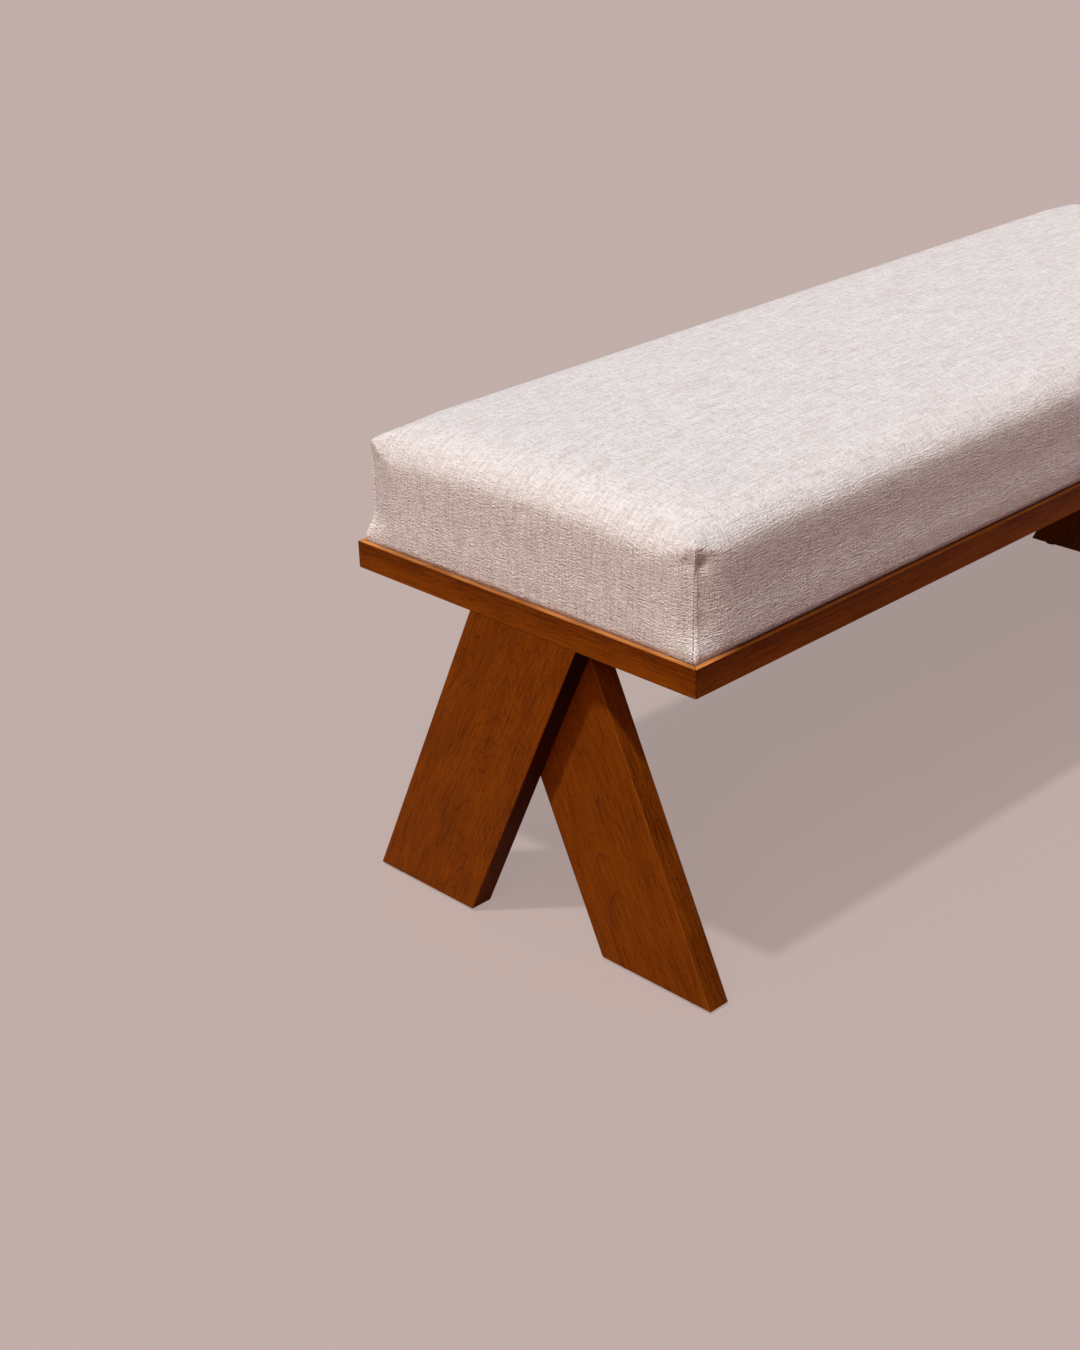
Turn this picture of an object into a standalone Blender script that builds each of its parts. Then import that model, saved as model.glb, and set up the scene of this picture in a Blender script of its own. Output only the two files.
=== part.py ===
"""Upholstered bench: a hardwood frame with crossed plank legs and a block seat.

Metres, +Z up. X runs along the bench, Y across it, and the floor is z = 0.
The origin is the middle of the bench on the floor.
"""

import collections
import math

import bmesh
import bpy
from mathutils import Matrix, Vector

# Overall sizes
bench_length = 1.200
bench_depth = 0.430

# Frame of four mitred rails, each with a step that leaves a thin lip round the seat
rail_height = 0.0275
lip_width = 0.006
step_depth = 0.008
rail_reveal = 0.0057
rail_arris = 0.0008

# Leg planks, cut level at top and foot
leg_rise = 0.326
leg_width = 0.123
leg_thickness = 0.025
leg_arris = 0.0012
foot_inset = 0.003
top_overlap = 0.007

# Gaps between pieces
joint_gap = 0.0003
hole_clearance = 0.0003
cut_past = 0.002

# Mitre splines
spline_length = 0.048
spline_width = 0.024
spline_thickness = 0.004

# Cross rails and their tenons
cross_rail_count = 2
cross_rail_width = 0.050
tenon_length = 0.016
tenon_shoulder = 0.0055

# Corner blocks
block_side = 0.070
block_tip = 0.008

# Deck screws, up through the corner blocks and the cross rails
screw_radius = 0.0020
screw_head_radius = 0.0040
screw_head_height = 0.0022
screw_bite = 0.008
block_screw_offset = 0.018
cross_screw_offset = 0.105

# Leg bolts and barrel nuts
bolt_radius = 0.0030
bolt_head_radius = 0.0065
bolt_head_height = 0.0022
bolt_spacing = 0.060
bolt_past_nut = 0.008
socket_radius = 0.0023
socket_depth = 0.0014
nut_radius = 0.0050
nut_length = 0.018
nut_recess = 0.001
nut_depth = 0.045

# Dowels that pin the two planks of an end to each other
dowel_radius = 0.0040
dowel_length = 0.030
dowel_upper_drop = 0.078
dowel_lower_drop = 0.114

# Glides under the feet, each moulded on a nail
glide_height = 0.0025
glide_radius = 0.0100
glide_spacing = 0.084
nail_radius = 0.0012
nail_length = 0.014

# Deck, dust cover and the cover's turned-in edge
deck_thickness = 0.012
dust_thickness = 0.0006
dust_inset = 0.020
turn_in = 0.025
vent_radius = 0.012
vent_count = 4

# Seat pad; its heights are above the top of the lip
pad_inset = 0.007
cover_thickness = 0.001
wadding_thickness = 0.0045
layer_gap = 0.0005
pad_middle = 0.124
crown_fall = 0.005
corner_fall = 0.010
crown_reach = 0.150
roll_radius = 0.045
corner_radius = 0.008
corner_reach = 0.022
corner_growth = 1.5
corner_pull = 0.0055
corner_spread = 0.022
side_swell = 0.0020
flare_height = 0.026
tight_radius = 0.001

# Faces of round shapes and of the pad's grid, and how its lines close up towards its edges
screw_sides = 10
bolt_sides = 14
dowel_sides = 14
glide_sides = 16
vent_sides = 20
roll_steps = 3
length_steps = 5
depth_steps = 3
length_grading = 2.0
depth_grading = 1.2
roll_rounds = 8
smooth_angle = 35

# Heights and places worked out from the sizes above
foot_level = glide_height + joint_gap
rail_bottom = foot_level + leg_rise + joint_gap
rail_top = rail_bottom + rail_height
shelf_level = rail_top - step_depth
shelf_thickness = rail_height - step_depth
dust_bottom = shelf_level + joint_gap
turn_in_bottom = dust_bottom + dust_thickness + joint_gap
deck_bottom = turn_in_bottom + cover_thickness + joint_gap
deck_top = deck_bottom + deck_thickness
pad_bottom = deck_top + joint_gap
rail_width = 2 * leg_thickness + joint_gap + rail_reveal
half_length = bench_length / 2
half_depth = bench_depth / 2
deck_inset = pad_inset + cover_thickness + joint_gap
bolt_line = leg_thickness - nut_recess - nut_length / 2
bolt_seat = shelf_level - bolt_head_height
bolt_length = bolt_seat - rail_bottom + joint_gap + nut_depth + nut_radius + bolt_past_nut

# The lean makes the foot's outer corner stop foot_inset short of the bench's side,
# while the middle of the plank's top lies top_overlap past the middle of the bench.
lean_run = half_depth - foot_inset + top_overlap
lean_reach = math.hypot(lean_run, leg_rise)
lean = math.acos(leg_width / (2 * lean_reach)) - math.atan2(leg_rise, lean_run)
plank_span = leg_width / math.cos(lean)
foot_middle = half_depth - foot_inset - plank_span / 2

END_SIGNS = {"left": -1, "right": 1}
SIDE_SIGNS = {"front": -1, "back": 1}


def clear_scene():
    """Empty the scene that the script runs in."""
    for old in list(bpy.data.objects):
        bpy.data.objects.remove(old, do_unlink=True)


def new_collection(name):
    """A collection for the parts or for the cutters."""
    collection = bpy.data.collections.new(name)
    bpy.context.scene.collection.children.link(collection)
    return collection


def new_material(name, colour, roughness, metallic=0.0):
    """A Principled material in one colour."""
    material = bpy.data.materials.new(name)
    material.use_nodes = True
    shader = material.node_tree.nodes["Principled BSDF"]
    shader.inputs["Base Color"].default_value = (*colour, 1.0)
    shader.inputs["Roughness"].default_value = roughness
    shader.inputs["Metallic"].default_value = metallic
    return material


def add_object(name, bm, collection, material=None, smooth=False):
    """Turn a bmesh into an object, with its normals facing out."""
    bmesh.ops.recalc_face_normals(bm, faces=bm.faces[:])
    mesh = bpy.data.meshes.new(name)
    bm.to_mesh(mesh)
    bm.free()
    if smooth:
        mesh.shade_smooth()
        mesh.set_sharp_from_angle(angle=math.radians(smooth_angle))
    item = bpy.data.objects.new(name, mesh)
    collection.objects.link(item)
    if material is not None:
        mesh.materials.append(material)
    return item


def add_cutter(name, bm):
    """A hidden body that only cuts others."""
    item = add_object(name, bm, cutters)
    item.hide_render = True
    item.display_type = "WIRE"
    return item


def cut(item, *tools):
    """Take the tools' shapes out of an object."""
    for tool in tools:
        modifier = item.modifiers.new("Cut " + tool.name, "BOOLEAN")
        modifier.operation = "DIFFERENCE"
        modifier.solver = "EXACT"
        modifier.object = tool


def add_box(bm, low, high):
    """A box between two corners."""
    low = Vector(low)
    high = Vector(high)
    place = Matrix.Translation((low + high) / 2) @ Matrix.Diagonal((*(high - low), 1.0))
    return bmesh.ops.create_cube(bm, size=1.0, matrix=place)["verts"]


def slice_off(bm, point, normal):
    """Cut away what lies past a plane and close the cut."""
    geometry = bm.verts[:] + bm.edges[:] + bm.faces[:]
    result = bmesh.ops.bisect_plane(
        bm, geom=geometry, plane_co=point, plane_no=normal, clear_outer=True
    )
    rim = [part for part in result["geom_cut"] if isinstance(part, bmesh.types.BMEdge)]
    bmesh.ops.edgeloop_fill(bm, edges=rim)


def ease(bm, edges, size):
    """Round over some edges by a small amount."""
    bmesh.ops.bevel(
        bm,
        geom=edges,
        offset=size,
        offset_type="OFFSET",
        segments=2,
        profile=0.5,
        affect="EDGES",
        material=-1,
    )


def add_turned(bm, profile, sides, place):
    """A round body: a profile of (radius, height) points turned about Z, then placed."""
    turned = bmesh.new()
    points = [turned.verts.new((radius, 0.0, height)) for radius, height in profile]
    for first, second in zip(points, points[1:]):
        turned.edges.new((first, second))
    bmesh.ops.spin(
        turned,
        geom=turned.verts[:] + turned.edges[:],
        cent=(0, 0, 0),
        axis=(0, 0, 1),
        angle=2 * math.pi,
        steps=sides,
        use_merge=True,
    )
    bmesh.ops.remove_doubles(turned, verts=turned.verts[:], dist=1e-6)
    bmesh.ops.transform(turned, matrix=place, verts=turned.verts[:])
    bmesh.ops.recalc_face_normals(turned, faces=turned.faces[:])
    mesh = bpy.data.meshes.new("turned")
    turned.to_mesh(mesh)
    turned.free()
    bm.from_mesh(mesh)
    bpy.data.meshes.remove(mesh)


def rod_profile(radius, bottom, top):
    """The profile of a plain round rod."""
    return [(0, top), (radius, top), (radius, bottom), (0, bottom)]


def shared_mesh(name, bm, material, tool=None):
    """The mesh of one fastener, cut by a tool where one is given, for all its copies."""
    master = add_object(name, bm, parts, material, smooth=True)
    if tool is not None:
        cut(master, tool)
    graph = bpy.context.evaluated_depsgraph_get()
    mesh = bpy.data.meshes.new_from_object(master.evaluated_get(graph))
    bpy.data.objects.remove(master, do_unlink=True)
    if tool is not None:
        bpy.data.objects.remove(tool, do_unlink=True)
    mesh.name = name
    return mesh


def turned_mesh(name, profile, sides, material, tool=None):
    """The shared mesh of a turned fastener."""
    bm = bmesh.new()
    add_turned(bm, profile, sides, Matrix.Identity(4))
    return shared_mesh(name, bm, material, tool)


def add_copy(name, mesh, place):
    """One more object that shares a fastener's mesh."""
    item = bpy.data.objects.new(name, mesh)
    item.matrix_world = place
    parts.objects.link(item)
    return item


def turned_cutter(name, profile, sides, places):
    """A cutter with one turned hole at each place."""
    bm = bmesh.new()
    for place in places:
        add_turned(bm, profile, sides, place)
    return add_cutter(name, bm)


def screw_profile(length, extra=0.0, past=0.0):
    """A countersunk wood screw, head at the bottom; extra and past make it a hole."""
    head = screw_head_radius + extra
    shank = screw_radius + extra
    tip = length + extra
    profile = [(0, tip), (shank / 2, tip), (shank, tip - screw_radius)]
    profile += [(shank, screw_head_height), (head, 0)]
    if past > 0:
        profile.append((head, -past))
    profile.append((0, -past))
    return profile


def along(direction):
    """Turn the Z axis to a direction."""
    return Vector((0, 0, 1)).rotation_difference(Vector(direction)).to_matrix().to_4x4()


# Frame


def make_rail(name, run, place, material):
    """A rail with a stepped section, eased long edges and mitred ends.

    In its own frame it lies along X with its outer face at y = 0.
    """
    bm = bmesh.new()
    outline = [
        (0, 0),
        (0, rail_height),
        (lip_width, rail_height),
        (lip_width, shelf_thickness),
        (rail_width, shelf_thickness),
        (rail_width, 0),
    ]
    section = [bm.verts.new((-run / 2, y, z)) for y, z in outline]
    face = bm.faces.new(section)
    result = bmesh.ops.extrude_face_region(bm, geom=[face])
    moved = [part for part in result["geom"] if isinstance(part, bmesh.types.BMVert)]
    bmesh.ops.translate(bm, vec=(run, 0, 0), verts=moved)
    eased = []
    for edge in bm.edges:
        first, second = (vert.co for vert in edge.verts)
        runs_long = abs(first.x - second.x) > run / 2
        in_step_corner = first.y > 0 and abs(first.z - shelf_thickness) < 1e-6
        if runs_long and not in_step_corner:
            eased.append(edge)
    ease(bm, eased, rail_arris)
    for sign in (-1, 1):
        corner = Vector((sign * (run / 2 - joint_gap / math.sqrt(2)), 0, 0))
        slice_off(bm, corner, Vector((sign, 1, 0)).normalized())
    bmesh.ops.transform(bm, matrix=place, verts=bm.verts[:])
    return add_object(name, bm, parts, material)


def make_rails():
    """Two side rails and two end rails round the seat."""
    rails = {}
    for side, sign in SIDE_SIGNS.items():
        turn = Matrix.Rotation(math.pi if sign > 0 else 0.0, 4, "Z")
        place = Matrix.Translation((0, sign * half_depth, rail_bottom)) @ turn
        rails[side] = make_rail("side_rail_" + side, bench_length, place, wood)
    for end, sign in END_SIGNS.items():
        turn = Matrix.Rotation(sign * math.pi / 2, 4, "Z")
        place = Matrix.Translation((sign * half_length, 0, rail_bottom)) @ turn
        rails[end] = make_rail("end_rail_" + end, bench_depth, place, wood)
    return rails


def corners():
    """Each corner's name and the signs of its X and Y."""
    for side, y_sign in SIDE_SIGNS.items():
        for end, x_sign in END_SIGNS.items():
            yield side + "_" + end, x_sign, y_sign


def add_spline(bm, x_sign, y_sign, extra):
    """A flat key across a mitre; with extra, its slot."""
    middle = Vector((
        x_sign * (half_length - rail_width / 2),
        y_sign * (half_depth - rail_width / 2),
        rail_bottom + shelf_thickness / 2,
    ))
    turn = Matrix.Rotation(x_sign * y_sign * math.pi / 4, 4, "Z")
    size = [part + 2 * extra for part in (spline_length, spline_width, spline_thickness)]
    place = Matrix.Translation(middle) @ turn @ Matrix.Diagonal((*size, 1.0))
    bmesh.ops.create_cube(bm, size=1.0, matrix=place)


def make_splines(rails):
    """Mitre splines, hidden in slots of the rails."""
    slots = bmesh.new()
    for corner, x_sign, y_sign in corners():
        bm = bmesh.new()
        add_spline(bm, x_sign, y_sign, 0.0)
        add_object("mitre_spline_" + corner, bm, parts, beech)
        add_spline(slots, x_sign, y_sign, hole_clearance)
    slot_cutter = add_cutter("spline_slots", slots)
    for rail in rails.values():
        cut(rail, slot_cutter)


def cross_rail_places():
    """The middles of the cross rails along X."""
    spacing = bench_length / (cross_rail_count + 1)
    return [(index + 1) * spacing - half_length for index in range(cross_rail_count)]


def make_cross_rail(name, x):
    """A cross rail with a stub tenon on each end."""
    half_width = cross_rail_width / 2
    reach = half_depth - rail_width - joint_gap
    bm = bmesh.new()
    add_box(bm, (x - half_width, -reach, rail_bottom), (x + half_width, reach, shelf_level))
    for sign in (-1, 1):
        end = max(bm.faces, key=lambda face: sign * face.calc_center_median().y)
        bmesh.ops.inset_individual(
            bm, faces=[end], thickness=tenon_shoulder, use_even_offset=True
        )
        result = bmesh.ops.extrude_discrete_faces(bm, faces=[end])
        tip = result["faces"][0].verts[:]
        bmesh.ops.translate(bm, vec=(0, sign * tenon_length, 0), verts=tip)
    return add_object(name, bm, parts, beech)


def make_cross_rails(rails):
    """Cross rails under the deck, tenoned into mortises in the side rails."""
    made = []
    half_width = cross_rail_width / 2 - tenon_shoulder + hole_clearance
    low = rail_bottom + tenon_shoulder - hole_clearance
    high = shelf_level - tenon_shoulder + hole_clearance
    mouth = half_depth - rail_width - cut_past
    bottom = half_depth - rail_width - joint_gap + tenon_length + hole_clearance
    for index, x in enumerate(cross_rail_places()):
        number = str(index + 1)
        made.append(make_cross_rail("cross_rail_" + number, x))
        for side, sign in SIDE_SIGNS.items():
            near, far = sorted((sign * mouth, sign * bottom))
            bm = bmesh.new()
            add_box(bm, (x - half_width, near, low), (x + half_width, far, high))
            cut(rails[side], add_cutter("mortise_" + side + "_" + number, bm))
    return made


def inner_corner(x_sign, y_sign):
    """Where a corner block's square corner lies, inside the rails."""
    x = x_sign * (half_length - rail_width - joint_gap)
    y = y_sign * (half_depth - rail_width - joint_gap)
    return Vector((x, y, rail_bottom))


def make_corner_blocks():
    """Three-sided blocks with blunt tips, glued into the frame's corners."""
    made = []
    tip = block_side - block_tip
    for corner, x_sign, y_sign in corners():
        start = inner_corner(x_sign, y_sign)
        along_x = Vector((-x_sign, 0, 0))
        along_y = Vector((0, -y_sign, 0))
        far = start + (along_x + along_y) * block_side + Vector((0, 0, shelf_thickness))
        low = [min(pair) for pair in zip(start, far)]
        high = [max(pair) for pair in zip(start, far)]
        bm = bmesh.new()
        add_box(bm, low, high)
        slice_off(bm, start + along_x * block_side, (along_x + along_y).normalized())
        slice_off(bm, start + along_x * tip, along_x)
        slice_off(bm, start + along_y * tip, along_y)
        made.append(add_object("corner_block_" + corner, bm, parts, beech))
    return made


# Legs

Plank = collections.namedtuple("Plank", "name end x_outer x_in foot_sign")


def planks():
    """The four planks: at each end an outer one with its foot to the back, and an inner one."""
    for end, x_sign in END_SIGNS.items():
        outer = x_sign * half_length
        inner = x_sign * (half_length - leg_thickness - joint_gap)
        yield Plank(end + "_outer", end, outer, -x_sign, 1)
        yield Plank(end + "_inner", end, inner, -x_sign, -1)


def plank_middle(plank, drop):
    """The Y of a plank's middle at a drop below its top."""
    return plank.foot_sign * (drop * math.tan(lean) - top_overlap)


def make_plank(plank):
    """A leaning plank, cut level at its top and its foot, with eased edges."""
    top = foot_level + leg_rise
    half_rise = leg_rise / 2
    length = 2 * (leg_rise / math.cos(lean) + leg_width)
    x_middle = plank.x_outer + plank.x_in * leg_thickness / 2
    middle = Vector((x_middle, plank_middle(plank, half_rise), top - half_rise))
    place = (
        Matrix.Translation(middle)
        @ Matrix.Rotation(plank.foot_sign * lean, 4, "X")
        @ Matrix.Diagonal((leg_thickness, leg_width, length, 1.0))
    )
    bm = bmesh.new()
    bmesh.ops.create_cube(bm, size=1.0, matrix=place)
    slice_off(bm, (0, 0, top), (0, 0, 1))
    slice_off(bm, (0, 0, foot_level), (0, 0, -1))
    top_face = max(bm.faces, key=lambda face: face.calc_center_median().z)
    eased = [edge for edge in bm.edges if edge not in top_face.edges[:]]
    ease(bm, eased, leg_arris)
    return add_object("leg_" + plank.name, bm, parts, wood)


def bolt_places(plank):
    """The seats of a plank's two bolts, on the end rail's step."""
    x = plank.x_outer + plank.x_in * bolt_line
    y = plank_middle(plank, nut_depth)
    for sign in (-1, 1):
        yield Matrix.Translation((x, y + sign * bolt_spacing / 2, bolt_seat))


def bolt_profile():
    """A flat-headed bolt that hangs from its seat."""
    return [
        (0, bolt_head_height - hole_clearance),
        (bolt_head_radius, bolt_head_height - hole_clearance),
        (bolt_head_radius, 0),
        (bolt_radius, 0),
        (bolt_radius, -bolt_length),
        (0, -bolt_length),
    ]


def bolt_hole_profile():
    """A bolt's hole, with a pocket for the head that is open above."""
    pocket = bolt_head_radius + hole_clearance
    hole = bolt_radius + hole_clearance
    return [
        (0, step_depth),
        (pocket, step_depth),
        (pocket, -hole_clearance),
        (hole, -hole_clearance),
        (hole, -bolt_length - hole_clearance),
        (0, -bolt_length - hole_clearance),
    ]


def nut_places(plank):
    """The closed ends of a plank's two barrel nuts, whose axes point to its inner face."""
    x = plank.x_outer + plank.x_in * (leg_thickness - nut_recess - nut_length)
    y = plank_middle(plank, nut_depth)
    z = foot_level + leg_rise - nut_depth
    for sign in (-1, 1):
        spot = Matrix.Translation((x, y + sign * bolt_spacing / 2, z))
        yield spot @ along((plank.x_in, 0, 0))


def glide_places(plank):
    """The middles of a foot's two glides on the floor."""
    x = plank.x_outer + plank.x_in * leg_thickness / 2
    for sign in (-1, 1):
        y = plank.foot_sign * foot_middle + sign * glide_spacing / 2
        yield Matrix.Translation((x, y, 0))


def glide_profile():
    """A glide with an eased rim, moulded on its nail."""
    ease_size = glide_height / 3
    nail_top = glide_height + nail_length
    return [
        (0, nail_top),
        (nail_radius / 2, nail_top),
        (nail_radius, nail_top - 2 * nail_radius),
        (nail_radius, glide_height),
        (glide_radius - ease_size, glide_height),
        (glide_radius, glide_height - ease_size),
        (glide_radius, ease_size),
        (glide_radius - ease_size, 0),
        (0, 0),
    ]


def dowel_places(end):
    """The middles of an end's lap dowels, between its two planks."""
    x = END_SIGNS[end] * (half_length - leg_thickness - joint_gap / 2)
    for drop in (dowel_upper_drop, dowel_lower_drop):
        yield Matrix.Translation((x, 0, foot_level + leg_rise - drop)) @ along((1, 0, 0))


def make_bolt_mesh():
    """A leg bolt with a six-sided socket in its head."""
    top = bolt_head_height + cut_past
    socket = rod_profile(socket_radius, bolt_head_height - socket_depth, top)
    tool = turned_cutter("bolt_socket", socket, 6, [Matrix.Identity(4)])
    return turned_mesh("leg_bolt", bolt_profile(), bolt_sides, steel, tool)


def make_nut_mesh():
    """A barrel nut with a cross hole for its bolt."""
    thread = rod_profile(bolt_radius + hole_clearance, -nut_length, nut_length)
    middle = Matrix.Translation((0, 0, nut_length / 2)) @ along((1, 0, 0))
    tool = turned_cutter("nut_thread", thread, bolt_sides, [middle])
    return turned_mesh("barrel_nut", rod_profile(nut_radius, 0, nut_length), bolt_sides, brass, tool)


def make_legs(rails):
    """Four planks with their bolts, barrel nuts and glides, and the dowels between them."""
    bolt = make_bolt_mesh()
    nut = make_nut_mesh()
    glide = turned_mesh("foot_glide", glide_profile(), glide_sides, nylon)
    half_dowel = dowel_length / 2
    dowel_profile = rod_profile(dowel_radius, -half_dowel, half_dowel)
    dowel = turned_mesh("lap_dowel", dowel_profile, dowel_sides, beech)

    half_hole = half_dowel + hole_clearance
    dowel_hole = rod_profile(dowel_radius + hole_clearance, -half_hole, half_hole)
    nut_mouth = nut_length + nut_recess + joint_gap / 2
    nut_hole = rod_profile(nut_radius + hole_clearance, -hole_clearance, nut_mouth)
    nail_end = glide_height + nail_length + hole_clearance
    nail_hole = rod_profile(nail_radius + hole_clearance, glide_height - cut_past, nail_end)

    dowel_cutters = {}
    for end in END_SIGNS:
        places = list(dowel_places(end))
        for number, place in enumerate(places, 1):
            add_copy(f"lap_dowel_{end}_{number}", dowel, place)
        dowel_cutters[end] = turned_cutter("dowel_holes_" + end, dowel_hole, dowel_sides, places)

    for plank in planks():
        leg = make_plank(plank)
        bolts = list(bolt_places(plank))
        nuts = list(nut_places(plank))
        glides = list(glide_places(plank))
        for number, place in enumerate(bolts, 1):
            add_copy(f"leg_bolt_{plank.name}_{number}", bolt, place)
        for number, place in enumerate(nuts, 1):
            add_copy(f"barrel_nut_{plank.name}_{number}", nut, place)
        for number, place in enumerate(glides, 1):
            add_copy(f"foot_glide_{plank.name}_{number}", glide, place)
        bolt_holes = turned_cutter("bolt_holes_" + plank.name, bolt_hole_profile(), bolt_sides, bolts)
        nut_holes = turned_cutter("nut_holes_" + plank.name, nut_hole, bolt_sides, nuts)
        nail_holes = turned_cutter("nail_holes_" + plank.name, nail_hole, dowel_sides, glides)
        cut(leg, bolt_holes, nut_holes, dowel_cutters[plank.end], nail_holes)
        cut(rails[plank.end], bolt_holes)


# Deck and dust cover


def deck_screw_places():
    """Each deck screw's name and its head's middle, under a corner block or a cross rail."""
    for corner, x_sign, y_sign in corners():
        inward = Vector((-x_sign, -y_sign, 0)) * block_screw_offset
        yield corner, Matrix.Translation(inner_corner(x_sign, y_sign) + inward)
    for index, x in enumerate(cross_rail_places()):
        for side, sign in SIDE_SIGNS.items():
            place = Matrix.Translation((x, sign * cross_screw_offset, rail_bottom))
            yield f"{side}_{index + 1}", place


def make_deck(holders):
    """The plywood deck, the dust cover under it, and the screws that hold the deck."""
    length = deck_bottom + screw_bite - rail_bottom
    screw = turned_mesh("deck_screw", screw_profile(length), screw_sides, steel)
    places = dict(deck_screw_places())
    for name, place in places.items():
        add_copy("deck_screw_" + name, screw, place)
    hole = screw_profile(length, hole_clearance, cut_past)
    screw_holes = turned_cutter("deck_screw_holes", hole, screw_sides, places.values())
    for holder in holders:
        cut(holder, screw_holes)

    x = half_length - deck_inset
    y = half_depth - deck_inset
    bm = bmesh.new()
    add_box(bm, (-x, -y, deck_bottom), (x, y, deck_top))
    deck = add_object("seat_deck", bm, parts, plywood)
    spacing = 2 * x / (vent_count + 1)
    vent = rod_profile(vent_radius, deck_bottom - cut_past, deck_top + cut_past)
    vents = [Matrix.Translation(((number + 1) * spacing - x, 0, 0)) for number in range(vent_count)]
    cut(deck, turned_cutter("deck_vents", vent, vent_sides, vents), screw_holes)

    x = half_length - dust_inset
    y = half_depth - dust_inset
    bm = bmesh.new()
    add_box(bm, (-x, -y, dust_bottom), (x, y, dust_bottom + dust_thickness))
    cut(add_object("dust_cover", bm, parts, black_cloth), screw_holes)


# Seat pad


def smoothstep(value):
    """An even ramp from 0 to 1."""
    value = min(max(value, 0.0), 1.0)
    return value * value * (3 - 2 * value)


def roll_at(distance):
    """The radius of the cover's rolled top edge at a distance from a corner."""
    spread = 1 - math.exp(-((distance / corner_reach) ** corner_growth))
    return corner_radius + (roll_radius - corner_radius) * spread


def side_inset(distance, height):
    """How far a side is drawn in at a distance from the corner, less its swell."""
    base = pad_bottom - rail_top
    pull = corner_pull * smoothstep((height - base) / (flare_height - base))
    near = math.exp(-((distance / corner_spread) ** 2))
    rise = min(max((height - base) / (pad_middle - base), 0.0), 1.0)
    swell = side_swell * math.sin(math.pi * rise) * (1 - near)
    return pull * near - swell


def pad_top(x, y, inset):
    """The height of the crowned top above the lip, before its edges roll over."""
    from_end = half_length - pad_inset - abs(x)
    end = max(0.0, 1 - from_end / crown_reach) ** 2
    side = (abs(y) / (half_depth - pad_inset)) ** 2
    return pad_middle - crown_fall * (end + side) - corner_fall * end * side - inset


def across(steps, index, half, roll, grading):
    """A grid line's distance from the side, and its drop as a share of the roll's radius."""
    from_rim = min(index, steps - index)
    if from_rim < roll_steps:
        turn = math.pi / 2 * (1 - from_rim / roll_steps)
        return roll * (1 - math.sin(turn)), 1 - math.cos(turn)
    share = (from_rim - roll_steps) / (steps / 2 - roll_steps)
    return roll + (half - roll) * share**grading, 0.0


def pad_grid():
    """How many columns and rows the pad's top has."""
    return 2 * (roll_steps + length_steps), 2 * (roll_steps + depth_steps)


def pad_halves(inset):
    """Half the pad's length and half its depth, before its corners are drawn in."""
    return half_length - pad_inset - inset, half_depth - pad_inset - inset


def cover_rolls(column, row):
    """The radii of the cover's rolls over its end and its side, for a grid point."""
    columns, rows = pad_grid()
    x_half, y_half = pad_halves(0.0)
    end_roll = roll_radius
    side_roll = roll_radius
    for _ in range(roll_rounds):
        x_gap, _ = across(columns, column, x_half, end_roll, length_grading)
        y_gap, _ = across(rows, row, y_half, side_roll, depth_grading)
        end_roll = roll_at(y_gap)
        side_roll = roll_at(x_gap)
    return end_roll, side_roll


def pad_point(column, row, inset, height=None):
    """A point of the pad's top, or with a height the point below it on the pad's side."""
    columns, rows = pad_grid()
    end_roll, side_roll = [max(roll - inset, tight_radius) for roll in cover_rolls(column, row)]
    x_half, y_half = pad_halves(inset)
    x_gap, x_share = across(columns, column, x_half, end_roll, length_grading)
    y_gap, y_share = across(rows, row, y_half, side_roll, depth_grading)
    x = x_half - x_gap
    y = y_half - y_gap
    if height is None:
        both = min(end_roll, side_roll) * x_share * y_share
        drop = end_roll * x_share + side_roll * y_share - both
        height = pad_top(x, y, inset) - drop
    x -= side_inset(y_gap, height) * math.exp(-x_gap / corner_reach)
    y -= side_inset(x_gap, height) * math.exp(-y_gap / corner_reach)
    x_sign = -1 if 2 * column < columns else 1
    y_sign = -1 if 2 * row < rows else 1
    return Vector((x_sign * x, y_sign * y, rail_top + height))


def open_edges(bm):
    """The edges that bound an open surface."""
    return [edge for edge in bm.edges if edge.is_boundary]


def split_quads(bm):
    """Split each quad from its vertex nearest to a corner's foot, so that the corners match."""
    for face in bm.faces[:]:
        verts = face.verts[:]
        reach = [abs(vert.co.x) + abs(vert.co.y) - vert.co.z for vert in verts]
        start = reach.index(max(reach))
        bmesh.utils.face_split(face, verts[start], verts[start - 2])


def make_skin(inset, bottom):
    """The pad's top and sides as an open surface, at an inset from the cover's outside."""
    columns, rows = pad_grid()
    bm = bmesh.new()
    bmesh.ops.create_grid(bm, x_segments=columns, y_segments=rows, size=1.0)
    base = pad_bottom - rail_top
    heights = [(pad_middle - roll_radius + flare_height) / 2, flare_height]
    heights.append((flare_height + base) / 2)
    if bottom < base - joint_gap:
        heights.append(base)
    heights.append(bottom)
    for level in range(len(heights)):
        result = bmesh.ops.extrude_edge_only(bm, edges=open_edges(bm))
        for part in result["geom"]:
            if isinstance(part, bmesh.types.BMVert):
                part.co.z = -(level + 1)
    split_quads(bm)
    for vert in bm.verts:
        column = round((vert.co.x + 1) / 2 * columns)
        row = round((vert.co.y + 1) / 2 * rows)
        level = round(-vert.co.z)
        height = heights[level - 1] if level > 0 else None
        vert.co = pad_point(column, row, inset, height)
    return bm


def add_skin(bm, skin, turned_over):
    """Join a skin to a mesh, facing in if it is turned over, and give its open edges."""
    if turned_over:
        bmesh.ops.reverse_faces(skin, faces=skin.faces[:])
    mesh = bpy.data.meshes.new("skin")
    skin.to_mesh(mesh)
    skin.free()
    before = set(bm.edges)
    bm.from_mesh(mesh)
    bpy.data.meshes.remove(mesh)
    return [edge for edge in bm.edges if edge not in before and edge.is_boundary]


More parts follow.
